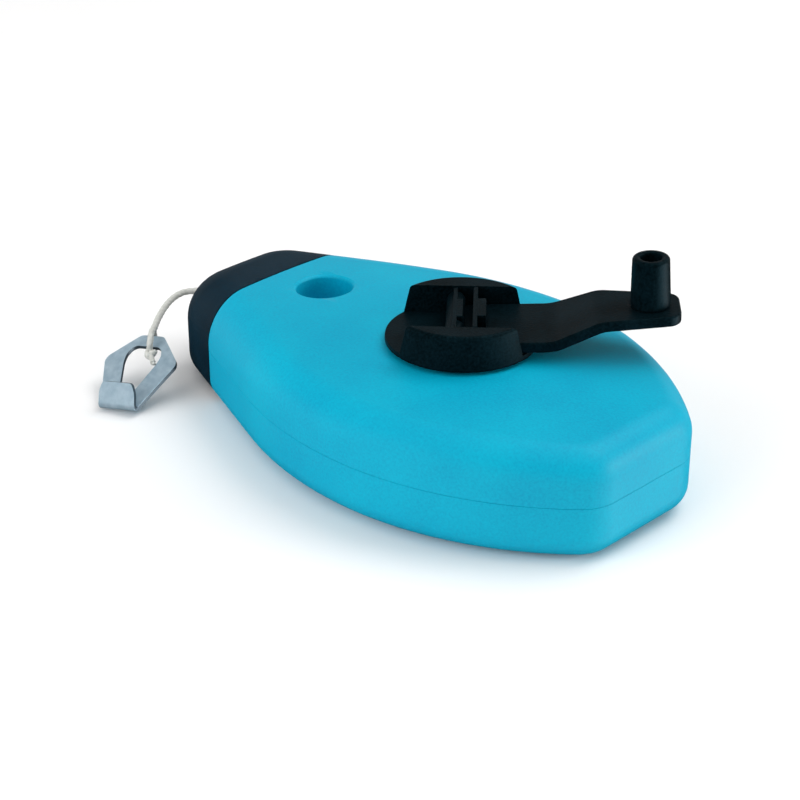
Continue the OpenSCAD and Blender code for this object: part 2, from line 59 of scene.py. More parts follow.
def setCamera(view):
    bearing, height = math.radians(view["bearing"]), math.radians(view["height"])
    back = Vector((math.sin(bearing) * math.cos(height), -math.cos(bearing) * math.cos(height), math.sin(height)))
    right = Vector((math.cos(bearing), math.sin(bearing), 0))
    across = (view["pixel"][0] - view["image"] / 2) / view["pixelsPerMm"]
    above = (view["image"] / 2 - view["pixel"][1]) / view["pixelsPerMm"]
    place = Vector(view["point"]) + back * view["distance"] - right * across - back.cross(right) * above
    bpy.ops.object.camera_add(location=place * mm, rotation=(math.pi / 2 - height, 0, bearing))
    camera = bpy.context.object
    camera.data.sensor_width = view["sensor"]
    camera.data.lens = view["sensor"] * view["pixelsPerMm"] * view["distance"] / view["image"]
    camera.data.clip_start = 0.01
    scene.camera = camera


setCamera(cameraView)
print("camera set")


# small tools for modelling
def freshStart():
    if bpy.context.mode != "OBJECT":
        bpy.ops.object.mode_set(mode="OBJECT")
    bpy.ops.object.select_all(action="DESELECT")


def activate(obj):
    freshStart()
    obj.select_set(True)
    bpy.context.view_layer.objects.active = obj


def editAll(obj):  # into edit mode with everything selected
    activate(obj)
    bpy.ops.object.mode_set(mode="EDIT")
    bpy.ops.mesh.select_mode(type="FACE")
    bpy.ops.mesh.select_all(action="SELECT")


def pick(obj, kind, test):  # in edit mode, select what passes a test of its middle and itself
    bpy.ops.mesh.select_mode(type=kind)
    bpy.ops.mesh.select_all(action="DESELECT")
    mesh = bmesh.from_edit_mesh(obj.data)
    mesh.normal_update()
    if kind == "FACE":
        found = [f for f in mesh.faces if test(f.calc_center_median(), f)]
    elif kind == "EDGE":
        found = [e for e in mesh.edges if test((e.verts[0].co + e.verts[1].co) / 2, e)]
    else:
        found = [v for v in mesh.verts if test(v.co, v)]
    for item in found:
        item.select_set(True)
    bmesh.update_edit_mesh(obj.data)
    return len(found)


def named(name):  # the primitive that was just added
    obj = bpy.context.object
    obj.name = obj.data.name = name
    return obj


def copyOf(obj, name):
    activate(obj)
    bpy.ops.object.duplicate()
    return named(name)


def flatShape(name, points, z=0):  # one face through the points
    freshStart()
    bpy.ops.mesh.primitive_circle_add(vertices=len(points), radius=1, fill_type="NGON")
    obj = named(name)
    for vert, (x, y) in zip(obj.data.vertices, points):
        vert.co = (x, y, z)
    return obj


def raised(name, points, low, high):  # a closed prism over the points
    obj = flatShape(name, points, low)
    editAll(obj)
    bpy.ops.mesh.extrude_region_move(TRANSFORM_OT_translate={"value": (0, 0, high - low)})
    tidyNormals(obj)
    return obj


def tidyNormals(obj, merge=0.0005):
    editAll(obj)
    bpy.ops.mesh.remove_doubles(threshold=merge)
    bpy.ops.mesh.normals_make_consistent(inside=False)
    freshStart()


def rod(name, radius, low, high, at=(0, 0), sides=64):
    freshStart()
    bpy.ops.mesh.primitive_cylinder_add(
        vertices=sides, radius=radius, depth=high - low, location=(at[0], at[1], (low + high) / 2))
    obj = named(name)
    bpy.ops.object.transform_apply(location=True, rotation=True, scale=True)
    return obj


def block(name, low, high):
    freshStart()
    size = [b - a for a, b in zip(low, high)]
    bpy.ops.mesh.primitive_cube_add(size=1, location=[(a + b) / 2 for a, b in zip(low, high)])
    obj = named(name)
    obj.scale = size
    bpy.ops.object.transform_apply(location=True, rotation=True, scale=True)
    return obj


def lathe(name, profile, steps=96):  # a closed profile of (radius, height) spun round Z
    freshStart()
    bpy.ops.mesh.primitive_circle_add(vertices=len(profile), radius=1)
    obj = named(name)
    for vert, (r, z) in zip(obj.data.vertices, profile):
        vert.co = (r, 0, z)
    editAll(obj)
    bpy.ops.mesh.select_mode(type="EDGE")
    bpy.ops.mesh.select_all(action="SELECT")
    bpy.ops.mesh.spin(steps=steps, angle=math.tau, center=(0, 0, 0), axis=(0, 0, 1))
    tidyNormals(obj)
    return obj


def turned(obj, angles, move=(0, 0, 0)):  # degrees about X, Y, Z, then a shift
    activate(obj)
    obj.rotation_euler = [math.radians(a) for a in angles]
    obj.location = move
    bpy.ops.object.transform_apply(location=True, rotation=True, scale=True)
    return obj


def useModifier(obj, kind, **settings):
    activate(obj)
    modifier = obj.modifiers.new(kind.lower(), kind)
    for key, value in settings.items():
        setattr(modifier, key, value)
    bpy.ops.object.modifier_apply(modifier=modifier.name)


def joined(first, *others):
    activate(first)
    for other in others:
        other.select_set(True)
    bpy.ops.object.join()
    return first


def combine(obj, tool, how):  # UNION or DIFFERENCE, and the tool is used up
    useModifier(obj, "BOOLEAN", operation=how, object=tool, solver="EXACT")
    bpy.data.objects.remove(tool)


def sliceOff(obj, point, normal, fill):  # drops what lies ahead of the plane
    editAll(obj)
    bpy.ops.mesh.bisect(plane_co=point, plane_no=normal, use_fill=fill, clear_outer=True)
    freshStart()


def roundEdges(obj, width, segments=3, angle=40):
    useModifier(obj, "BEVEL", width=width, segments=segments, limit_method="ANGLE",
                angle_limit=math.radians(angle), use_clamp_overlap=True, harden_normals=False)


def arc(cx, cy, radius, first, last, count):  # points past the first, up to the last
    angles = [math.radians(first + (last - first) * i / count) for i in range(1, count + 1)]
    return [(cx + radius * math.cos(a), cy + radius * math.sin(a)) for a in angles]


def finishPiece(obj, body, material, nodes=(), sharp=35, weighted=True):
    activate(obj)
    obj.scale = (mm, mm, mm)
    bpy.ops.object.transform_apply(location=True, rotation=True, scale=True)
    bpy.ops.object.shade_smooth_by_angle(angle=math.radians(sharp))
    if weighted:
        useModifier(obj, "WEIGHTED_NORMAL", weight=60, keep_sharp=True)
    dress(obj, material)
    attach(obj, body)
    if nodes:
        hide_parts(*nodes)
    print("made", obj.name, len(obj.data.polygons), "faces")
    return obj


def dress(obj, material):
    obj.data.materials.clear()
    obj.data.materials.append(material)


# materials
def linear(code):  # sRGB hex to the linear colour that the shader takes
    parts = [int(code[i:i + 2], 16) / 255 for i in (1, 3, 5)]
    return [c / 12.92 if c <= 0.04045 else ((c + 0.055) / 1.055) ** 2.4 for c in parts] + [1]


def perMm(size):  # texture scale for a feature of that many millimetres
    return 1000 / size


def addNode(tree, kind, settings, links=()):
    node = tree.nodes.new(kind)
    for key, value in settings.items():
        if isinstance(key, int) or key in node.inputs:
            node.inputs[key].default_value = value
        else:
            setattr(node, key, value)
    for key, source in dict(links).items():
        tree.links.new(source, node.inputs[key])
    return node


def startMaterial(name):
    material = bpy.data.materials.new(name)
    material.use_nodes = True
    tree = material.node_tree
    tree.nodes.clear()
    return material, tree, addNode(tree, "ShaderNodeTexCoord", {}).outputs["Object"]


def endMaterial(tree, shader):
    addNode(tree, "ShaderNodeOutputMaterial", {}, {"Surface": shader.outputs[0]})


def mouldedPlastic(name, look):  # grain of the mould in the bump and gloss, slow drift in the colour
    material, tree, place = startMaterial(name)
    grain = addNode(tree, "ShaderNodeTexNoise", {"Scale": perMm(look["grain"]), "Detail": 3.0, "Roughness": 0.6},
                    {"Vector": place})
    drift = addNode(tree, "ShaderNodeTexNoise", {"Scale": perMm(look["drift"]), "Detail": 2.0}, {"Vector": place})
    tone = addNode(tree, "ShaderNodeMath", {"operation": "MULTIPLY_ADD", 1: look["speckle"]},
                   {0: grain.outputs["Fac"], 2: drift.outputs["Fac"]})
    spread = {"From Min": 0.3 + 0.35 * look["speckle"], "From Max": 0.7 + 0.65 * look["speckle"]}
    share = addNode(tree, "ShaderNodeMapRange", spread, {"Value": tone.outputs[0]})
    colour = addNode(tree, "ShaderNodeMix", {"data_type": "RGBA", 6: linear(look["dark"]), 7: linear(look["light"])},
                     {0: share.outputs[0]})
    gloss = addNode(tree, "ShaderNodeMapRange", {"To Min": look["rough"][0], "To Max": look["rough"][1]},
                    {"Value": grain.outputs["Fac"]})
    bump = addNode(tree, "ShaderNodeBump", {"Strength": look["bump"], "Distance": look["depth"] * mm},
                   {"Height": grain.outputs["Fac"]})
    gleam = {"IOR": look["ior"], "Specular IOR Level": look["specular"], "Specular Tint": linear(look["shine"])}
    shader = addNode(tree, "ShaderNodeBsdfPrincipled", gleam,
                     {"Base Color": colour.outputs[2], "Roughness": gloss.outputs[0], "Normal": bump.outputs[0]})
    endMaterial(tree, shader)
    return material


# ABS from a spark-eroded mould: satin, a fine even grain, cyan all through
caseAbs = mouldedPlastic("satinAbsCyan", {
    "grain": 0.5, "drift": 18, "speckle": 1.6, "dark": "#0099BD", "light": "#00AFCC",
    "rough": (0.38, 0.54), "bump": 0.5, "depth": 0.06, "ior": 1.5, "specular": 0.17, "shine": "#FFFFFF"})
# rubber-filled polypropylene: dull, coarser grain, blue black
capPolypropylene = mouldedPlastic("dullPolypropyleneNavy", {
    "grain": 0.45, "drift": 16, "speckle": 1.8, "dark": "#031520", "light": "#0D2D3D",
    "rough": (0.44, 0.62), "bump": 0.8, "depth": 0.1, "ior": 1.49, "specular": 0.13, "shine": "#96E0FF"})
# glass-filled nylon: black, fine matte grain that greys where it faces the light
crankNylon = mouldedPlastic("matteNylonBlack", {
    "grain": 0.5, "drift": 7, "speckle": 2.0, "dark": "#000304", "light": "#091A20",
    "rough": (0.36, 0.54), "bump": 0.6, "depth": 0.08, "ior": 1.53, "specular": 0.06, "shine": "#80E0FF"})
# natural polypropylene of the spool: waxy white, faint grain
spoolPolypropylene = mouldedPlastic("waxyPolypropyleneWhite", {
    "grain": 0.6, "drift": 12, "speckle": 0.6, "dark": "#D9DAD2", "light": "#E6E6DF",
    "rough": (0.4, 0.5), "bump": 0.2, "depth": 0.02, "ior": 1.49, "specular": 0.45, "shine": "#FFFFFF"})


def platedSteel(name, look):  # plating: cloudy tone, faint rolling lines, small dull specks
    material, tree, place = startMaterial(name)
    cloud = addNode(tree, "ShaderNodeTexNoise", {"Scale": perMm(look["cloud"]), "Detail": 4.0}, {"Vector": place})
    rolled = {"Rotation": [math.radians(a) for a in look["turn"]], "Scale": (1, 0.06, 1)}
    turn = addNode(tree, "ShaderNodeMapping", rolled, {"Vector": place})
    lines = addNode(tree, "ShaderNodeTexNoise", {"Scale": perMm(look["line"]), "Detail": 3.0},
                    {"Vector": turn.outputs[0]})
    plate = addNode(tree, "ShaderNodeMix", {"data_type": "RGBA", 6: linear(look["dark"]), 7: linear(look["light"])},
                    {0: cloud.outputs["Fac"]})
    # cut edges darker: bare steel where the sheet was cut, and painted shade laid on every cut edge
    sheared = addNode(tree, "ShaderNodeAttribute", {"attribute_name": "shearedShadedEdge"})
    colour = addNode(tree, "ShaderNodeMix", {"data_type": "RGBA", 7: linear(look["bareShadedEdge"])},
                     {0: sheared.outputs["Fac"], 6: plate.outputs[2]})
    gloss = addNode(tree, "ShaderNodeMapRange", {"To Min": look["rough"][0], "To Max": look["rough"][1]},
                    {"Value": lines.outputs["Fac"]})
    bump = addNode(tree, "ShaderNodeBump", {"Strength": look["bump"], "Distance": look["depth"] * mm},
                   {"Height": lines.outputs["Fac"]})
    shader = addNode(tree, "ShaderNodeBsdfPrincipled", {"Metallic": look["metal"]},
                     {"Base Color": colour.outputs[2], "Roughness": gloss.outputs[0], "Normal": bump.outputs[0]})
    endMaterial(tree, shader)
    return material


# zinc plate on pressed sheet: pale blue grey, soft broken reflections, cut edges darker for bare steel and painted
# shade
zincSheet = platedSteel("zincPlatedSheet", {
    "cloud": 1.6, "line": 0.5, "turn": (0, 0, 23), "dark": "#88A5B8", "light": "#C6DAE5", "bareShadedEdge": "#4C5A64",
    "rough": (0.36, 0.52), "bump": 0.25, "depth": 0.01, "metal": 0.45})
# bright zinc on turned fasteners: smaller, sharper highlights
zincFastener = platedSteel("brightZincFastener", {
    "cloud": 2, "line": 0.3, "turn": (0, 0, 0), "dark": "#A2A8AB", "light": "#CDD1D2", "bareShadedEdge": "#6A6F71",
    "rough": (0.22, 0.36), "bump": 0.25, "depth": 0.01, "metal": 0.75})


def softFibre(name, look):  # cotton or wool: fine fibres in the bump, dusty tone, soft sheen
    material, tree, place = startMaterial(name)
    fibre = addNode(tree, "ShaderNodeTexNoise", {"Scale": perMm(look["fibre"]), "Detail": 4.0, "Roughness": 0.7},
                    {"Vector": place})
    dust = addNode(tree, "ShaderNodeTexNoise", {"Scale": perMm(look["dust"]), "Detail": 2.0}, {"Vector": place})
    colour = addNode(tree, "ShaderNodeMix", {"data_type": "RGBA", 6: linear(look["dark"]), 7: linear(look["light"])},
                     {0: dust.outputs["Fac"]})
    bump = addNode(tree, "ShaderNodeBump", {"Strength": look["bump"], "Distance": look["depth"] * mm},
                   {"Height": fibre.outputs["Fac"]})
    soft = {"Roughness": 0.92, "Specular IOR Level": 0.2, "Sheen Weight": 0.25, "Sheen Roughness": 0.5}
    shader = addNode(tree, "ShaderNodeBsdfPrincipled", soft,
                     {"Base Color": colour.outputs[2], "Normal": bump.outputs[0]})
    endMaterial(tree, shader)
    return material


# twisted cotton: off-white, matte, hairy; the fibres are drawn coarser than real so that they show
cottonLine = softFibre("twistedCotton", {
    "fibre": 0.3, "dust": 0.8, "dark": "#B4B6B0", "light": "#E2E3DE", "bump": 0.8, "depth": 0.12})
# pressed wool felt: grey, no gloss, matted fibres
woolFelt = softFibre("pressedWoolFelt", {
    "fibre": 0.4, "dust": 2, "dark": "#6F7274", "light": "#8C8F90", "bump": 0.8, "depth": 0.15})


def palePaper(name, look):
    material, tree, place = startMaterial(name)
    tone = addNode(tree, "ShaderNodeTexNoise", {"Scale": perMm(look["cloud"]), "Detail": 2.0}, {"Vector": place})
    colour = addNode(tree, "ShaderNodeMix", {"data_type": "RGBA", 6: linear(look["dark"]), 7: linear(look["light"])},
                     {0: tone.outputs["Fac"]})
    dull = {"Roughness": look["rough"], "Specular IOR Level": look["specular"]}
    shader = addNode(tree, "ShaderNodeBsdfPrincipled", dull, {"Base Color": colour.outputs[2]})
    endMaterial(tree, shader)
    return material


# matte backdrop paper: near white, hardly any gloss
floorPaper = palePaper("paleMattePaper", {
    "cloud": 60, "dark": "#FAFAFA", "light": "#FDFDFD", "rough": 0.9, "specular": 0.1})
print("materials ready")

# floor and soft studio light
studio = {
    "floor": 9.0, "aim": (0, 0, 0.01), "sky": "#FFFFFF",
    "above": 0.2, "horizon": 0.75, "below": 0.02,  # strength of the sky at three heights
    "upperBand": (0.08, 0.35), "lowerBand": (-0.2, -0.02),  # heights over which one strength turns to the next
    "card": 8.0, "cardWay": (0.86, 0.4, -0.3), "cardEdge": (0.8, 0.95),  # low on the tail side, seen only in reflections
    "lamps": [  # name, place, size, power, tint, seen in reflections
        ("ceiling", (0, 0, 3.0), 6.0, 65.0, "#FFFFFF", False),
        ("overhead", (0.25, 0.55, 1.0), 0.9, 5.5, "#FFFFFF", True),
        ("tailSide", (0.8, 0.6, 0.21), 0.42, 4.4, "#FFF9F0", True),
        ("frontFill", (-0.2, -0.98, 0.42), 0.9, 6.3, "#FFFFFF", False),
    ],
}


def makeStudio(look):
    freshStart()
    bpy.ops.mesh.primitive_plane_add(size=look["floor"])
    floor = named("floor")
    floor.visible_glossy = False
    dress(floor, floorPaper)
    world = bpy.data.worlds.new("studio")
    scene.world = world
    world.use_nodes = True
    tree = world.node_tree
    sky = tree.nodes["Background"]
    sky.inputs["Color"].default_value = linear(look["sky"])
    way = addNode(tree, "ShaderNodeTexCoord", {})
    parts = addNode(tree, "ShaderNodeSeparateXYZ", {}, {"Vector": way.outputs["Generated"]})
    start, end = look["upperBand"]
    upper = {"From Min": start, "From Max": end, "To Min": look["horizon"], "To Max": look["above"]}
    high = addNode(tree, "ShaderNodeMapRange", upper, {"Value": parts.outputs["Z"]})
    start, floorLine = look["lowerBand"]
    low = addNode(tree, "ShaderNodeMapRange", {"From Min": start, "From Max": floorLine, "To Min": look["below"]},
                  {"Value": parts.outputs["Z"]})
    glow = addNode(tree, "ShaderNodeMath", {"operation": "MULTIPLY"}, {0: high.outputs[0], 1: low.outputs[0]})
    toward = addNode(tree, "ShaderNodeVectorMath", {"operation": "DOT_PRODUCT", 1: Vector(look["cardWay"]).normalized()},
                     {0: way.outputs["Generated"]})
    start, end = look["cardEdge"]
    card = addNode(tree, "ShaderNodeMapRange", {"From Min": start, "From Max": end, "To Max": look["card"]},
                   {"Value": toward.outputs["Value"]})
    under = addNode(tree, "ShaderNodeMath", {"operation": "LESS_THAN", 1: floorLine}, {0: parts.outputs["Z"]})
    lit = addNode(tree, "ShaderNodeMath", {"operation": "MULTIPLY_ADD"},
                  {0: card.outputs[0], 1: under.outputs[0], 2: glow.outputs[0]})
    tree.links.new(lit.outputs[0], sky.inputs["Strength"])
    for name, place, size, power, tint, mirrored in look["lamps"]:
        aim = Vector(look["aim"]) - Vector(place)
        bpy.ops.object.light_add(type="AREA", location=place, rotation=aim.to_track_quat("-Z", "Y").to_euler())
        lamp = named(name)
        lamp.data.shape = "DISK"
        lamp.data.size = size
        lamp.data.energy = power
        lamp.data.color = linear(tint)[:3]
        lamp.visible_glossy = mirrored
    scene.view_settings.view_transform = "Standard"


makeStudio(studio)
print("studio lit")


# line: a twisted cord along a path
def evenPath(points, step, fine=30):  # a smooth curve through the points, cut into even steps
    route = [Vector(p) for p in points]
    route = [2 * route[0] - route[1]] + route + [2 * route[-1] - route[-2]]
    dense = []
    for a, b, c, d in zip(route, route[1:], route[2:], route[3:]):
        square, cube = 2 * a - 5 * b + 4 * c - d, 3 * b - a - 3 * c + d
        for i in range(fine):
            t = i / fine
            dense.append(0.5 * (2 * b + (c - a) * t + square * t ** 2 + cube * t ** 3))
    dense.append(route[-2])
    return resampled(dense, max(2, round(pathLength(dense) / step)))


def resampled(points, count):
    marks = [0]
    for p, q in zip(points, points[1:]):
        marks.append(marks[-1] + (q - p).length)
    result, k = [], 0
    for i in range(count + 1):
        want = marks[-1] * i / count
        while k < len(marks) - 2 and marks[k + 1] < want:
            k += 1
        share = (want - marks[k]) / max(marks[k + 1] - marks[k], 1e-9)
        result.append(points[k].lerp(points[k + 1], min(max(share, 0), 1)))
    return result


def pathLength(path):
    return sum((q - p).length for p, q in zip(path, path[1:]))


twist = {"thick": 1.49, "pitch": 4.4, "strands": 3, "groove": 0.13, "sides": 18, "merge": 0.0001}


def twistedLine(name, path, look, thick=None):  # strands laid round each other, as a closed tube
    freshStart()
    half = (thick or look["thick"]) / 2
    section = bpy.data.curves.new(name + "Section", "CURVE")
    ring = section.splines.new("POLY")
    ring.points.add(look["sides"] - 1)
    ring.use_cyclic_u = True
    for i, point in enumerate(ring.points):
        a = math.tau * i / look["sides"]
        r = half * (1 - look["groove"] * (1 - abs(math.cos(look["strands"] * a / 2))))
        point.co = (r * math.cos(a), r * math.sin(a), 0, 1)
    sectionObj = bpy.data.objects.new(name + "Section", section)
    scene.collection.objects.link(sectionObj)
    curve = bpy.data.curves.new(name, "CURVE")
    curve.dimensions = "3D"
    curve.bevel_mode = "OBJECT"
    curve.bevel_object = sectionObj
    curve.use_fill_caps = True
    spline = curve.splines.new("POLY")
    spline.points.add(len(path) - 1)
    along = 0
    for i, point in enumerate(spline.points):
        along += (path[i] - path[i - 1]).length if i else 0
        point.co = (*path[i], 1)
        point.tilt = math.tau * along / look["pitch"]
    obj = bpy.data.objects.new(name, curve)
    scene.collection.objects.link(obj)
    activate(obj)
    bpy.ops.object.convert(target="MESH")
    obj = bpy.context.object
    bpy.data.objects.remove(sectionObj)
    tidyNormals(obj, look["merge"])
    return obj


# free line: out of the eyelet, round in front of the nose, over the bar of the hook
freeLine = {
    "eyelet": (-71.05, 0, 12.5), "leaves": 21.9, "out": 2,  # middle of the eyelet, degrees off -X, mm past it
    "route": [(-77, -2.2, 12.5), (-78.9, -4, 12.5), (-79.9, -6.3, 12.5), (-79.7, -9.1, 12.3),
              (-78.2, -12.6, 12), (-75.8, -16.5, 11.6), (-73.65, -19.2, 11.55), (-71.9, -21.15, 11.65)],
    "loop": 3, "wrap": [(75, 0.95), (100, 1.2), (130, 1.3), (160, 1.1)],  # radius round the bar; degrees, shift along it
    "runIn": 1.5, "step": 0.28,
}
hookPlace = {"bar": (-71.4, -22.7, 8.65), "turn": (-66.5, -5.5, 23.5)}  # middle of the bar, degrees
hookAxes = Euler([math.radians(a) for a in hookPlace["turn"]]).to_matrix()


def byHook(x, y, z):  # from the hook's own axes: along the bar, under the plate, up the plate
    return Vector(hookPlace["bar"]) + hookAxes @ Vector((x, y, z))


def roundBar(degrees, radius, along=0):
    a = math.radians(degrees)
    return byHook(along, -radius * math.sin(a), radius * math.cos(a))


leaves = math.radians(freeLine["leaves"])
leadWay = Vector((-math.cos(leaves), -math.sin(leaves), 0))
lineExit = Vector(freeLine["eyelet"]) + freeLine["out"] * leadWay


def makeFreeLine(look):
    wrap = [roundBar(a, look["loop"], along) for a, along in look["wrap"]]
    start = [lineExit - look["runIn"] * leadWay, lineExit]
    path = evenPath(start + [Vector(p) for p in look["route"]] + wrap, look["step"])
    first = min(range(len(path)), key=lambda i: (path[i] - lineExit).length)
    path = [lineExit.copy()] + path[first + 1:]
    line = twistedLine("freeLine", path, twist)
    finishPiece(line, "line", cottonLine, ["line_tail"], weighted=False)
    return line, path


line, linePath = makeFreeLine(freeLine)

# knot in the window of the hook: the end goes round behind the bar, and is tied off
hookKnot = {
    "place": (1.4, -0.5, -3.5), "size": 0.33, "thick": 1.25, "points": 60, "steps": 90,  # places by the hook's axes
    "loop": [(0.9, 0.1, -2.75), (0.5, 1.3, -2.2), (0.1, 2.4, -0.85), (-0.4, 2.25, 1.2),
             (-0.6, 0.95, 2.45), (-0.35, -0.6, 2.75), (0.05, -1.7, 3.1), (0.0, -1.45, 4.0)],
    "loopThick": 1.4, "end": [(2.05, -0.5, -4.5), (2.9, -0.3, -5.75)], "endThick": 1.25, "step": 0.3,
    "fray": 7, "hairThick": 0.42, "hairSides": 8, "hairRing": 0.32, "hairRoot": 0.3,
}


def makeKnot(look):
    middle = Vector(look["place"])
    turn = []
    for i in range(look["points"] + 1):
        t = math.tau * i / look["points"]
        bow = Vector((math.sin(t) + 2 * math.sin(2 * t), -math.sin(3 * t), math.cos(t) - 2 * math.cos(2 * t)))
        turn.append(byHook(*(middle + look["size"] * bow)))
    ball = twistedLine("lineKnot", resampled(turn, look["steps"]), twist, look["thick"])
    behind = evenPath([linePath[-1]] + [byHook(*p) for p in look["loop"]], look["step"])
    back = twistedLine("knotLoop", behind, twist, look["loopThick"])
    near, far = (Vector(p) for p in look["end"])
    away = evenPath([byHook(*p) for p in (middle, near, far)], look["step"])
    stub = twistedLine("knotEnd", away, twist, look["endThick"])
    hairs, hairTwist = [], dict(twist, sides=look["hairSides"])
    for i in range(look["fray"]):  # cut ends of the strands, spread a little
        a = math.tau * i / look["fray"]
        side = Vector((math.cos(a), 0.6 * math.sin(a), 0.4 * math.sin(a))) * look["hairRing"]
        root = far - (far - near) * look["hairRoot"] + side
        tip = far + (far - near) * (0.32 + 0.1 * (i % 3)) + side * 1.7
        hair = evenPath([byHook(*p) for p in (root, far + side, tip)], look["step"])
        hairs.append(twistedLine("knotHair", hair, hairTwist, look["hairThick"]))
    knot = joined(ball, back, stub, *hairs)
    return finishPiece(knot, "line", cottonLine, ["line_knot"], weighted=False)


knot = makeKnot(hookKnot)

# hook: a stamped plate with a window, its lower end folded up into a claw
hookPlate = {
    "thick": 1.0, "edge": 0.18, "corner": 0.7,
    "half": [(2.7, 1.55), (5.3, -1.45), (8.3, -5.05), (8.6, -6.45), (4.35, -19.0)],
    "window": [(2.6, -1.55), (3.6, -2.35), (4.2, -4.05), (4.0, -6.35), (1.8, -14.25), (1.0, -14.85)],
    "foldAt": -18.22, "foldRadius": 0.75, "fold": 135, "foldLines": 12,
    "claw": 4.65, "clawRoot": 4.3, "clawSide": 4.23, "clawTip": 3.45, "shoulder": 0.55,  # length, half widths, share
    "sheared": 0.3,  # faces that turn less than this to the flat are cut edges
}


def softCorners(points, radius, count=4):  # each corner of a closed outline drawn as a short arc
    result = []
    n = len(points)
    for i in range(n):
        a, b, c = (Vector(points[(i + k) % n]) for k in (-1, 0, 1))
        reach = min(radius, (a - b).length * 0.4, (c - b).length * 0.4)
        p, q = b + (a - b).normalized() * reach, b + (c - b).normalized() * reach
        for k in range(count + 1):
            t = k / count
            result.append(tuple((1 - t) ** 2 * p + 2 * t * (1 - t) * b + t ** 2 * q))
    return result


def bothSides(half):  # a right half, top to bottom, closed by its mirror
    return list(reversed(half)) + [(-x, y) for x, y in half]


def makeHook(look):
    arcLength = math.radians(look["fold"]) * look["foldRadius"]
    turnEnd = look["foldAt"] - arcLength
    outline = look["half"] + [
        (look["clawRoot"], turnEnd), (look["clawSide"], turnEnd - look["shoulder"] * look["claw"]),
        (look["clawTip"], turnEnd - look["claw"])]
    half = look["thick"] / 2
    hook = raised("lineHook", softCorners(bothSides(outline), look["corner"]), -half, half)
    opening = softCorners(bothSides(look["window"]), look["corner"])
    combine(hook, raised("hookWindow", opening, -5, 5), "DIFFERENCE")
    roundEdges(hook, look["edge"], 2)
    # cut edges marked for the darker edge colour: bare steel and painted shade
    cut = hook.data.attributes.new("shearedShadedEdge", "FLOAT", "FACE")
    for face in hook.data.polygons:
        cut.data[face.index].value = 1 if abs(face.normal.z) < look["sheared"] else 0
    for k in range(look["foldLines"] + 1):  # cross lines for the fold to turn on
        editAll(hook)
        along = look["foldAt"] - arcLength * k / look["foldLines"]
        bpy.ops.mesh.bisect(plane_co=(0, along, 0), plane_no=(0, 1, 0))
    freshStart()
    for vert in hook.data.vertices:  # flat pattern (x, along, thickness) to the folded plate
        x, along, deep = vert.co
        past = look["foldAt"] - along
        if past <= 0:
            vert.co = (x, -deep, along)
            continue
        a = min(past, arcLength) / look["foldRadius"]
        rest = max(past - arcLength, 0)
        r = look["foldRadius"] - deep
        y = r * math.cos(a) - look["foldRadius"] - rest * math.sin(a)
        z = look["foldAt"] - r * math.sin(a) - rest * math.cos(a)
        vert.co = (x, y, z)
    tidyNormals(hook)
    turned(hook, hookPlace["turn"], hookPlace["bar"])
    return finishPiece(hook, "hook", zincSheet, ["line_hook"])


hook = makeHook(hookPlate)
print("free line", round(pathLength(linePath), 2), "mm")

# line inside: off the spool on a tangent, then through the cap, in two stretches
innerLine = {"spool": (-9.884, 24.588, 12.5), "inCap": 24, "step": 0.4, "smooth": 50}


def makeInnerLine(look):
    start, eyelet = Vector(look["spool"]), Vector(freeLine["eyelet"])
    middle = eyelet - look["inCap"] * leadWay
    for name, a, b, first, second, node in (
            ("leadLine", start, middle, "case", "cap", "line_lead"),
            ("runLine", middle, lineExit, "cap", "line", "line_run")):
        piece = twistedLine(name, resampled([a, b], round((b - a).length / look["step"])), twist)
        activate(piece)
        piece.scale = (mm, mm, mm)
        bpy.ops.object.transform_apply(location=True, rotation=True, scale=True)
        bpy.ops.object.shade_smooth_by_angle(angle=math.radians(look["smooth"]))
        dress(piece, cottonLine)
        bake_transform(piece)
        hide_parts(node)


makeInnerLine(innerLine)

# wound line: an outer layer of close turns over a rippled form for the inner ones; the imported winding is hidden
woundLine = {
    "radius": 24.75, "low": 6.8, "high": 16.6, "turns": 6, "perTurn": 60, "finer": 8, "sides": 9,
    "core": 12.05, "ends": (5.7, 17.7), "under": 1.35, "ripple": 0.35, "ripples": 7, "perRipple": 6,
}


def makeWoundLine(look):
    count = look["turns"] * look["perTurn"]
    path = []
    for i in range(count + 1):
        a = math.tau * i / look["perTurn"]
        z = look["low"] + (look["high"] - look["low"]) * i / count
        path.append(Vector((look["radius"] * math.cos(a), look["radius"] * math.sin(a), z)))
    outer = twistedLine("woundLine", resampled(path, count * look["finer"]), dict(twist, sides=look["sides"]))
    low, high = look["ends"]
    ridges, steps = [(look["core"], low)], look["ripples"] * look["perRipple"]
    for i in range(steps + 1):  # the turns beneath, a ripple a line wide
        swell = look["ripple"] * abs(math.sin(math.pi * i / look["perRipple"]))
        ridges.append((look["radius"] - look["under"] + swell, low + (high - low) * i / steps))
    ridges.append((look["core"], high))
    inner = lathe("innerTurns", ridges, 120)
    return finishPiece(joined(outer, inner), "reel", cottonLine, ["wound_line", "wound_core"],
                       weighted=False)


makeWoundLine(woundLine)
print("line done")

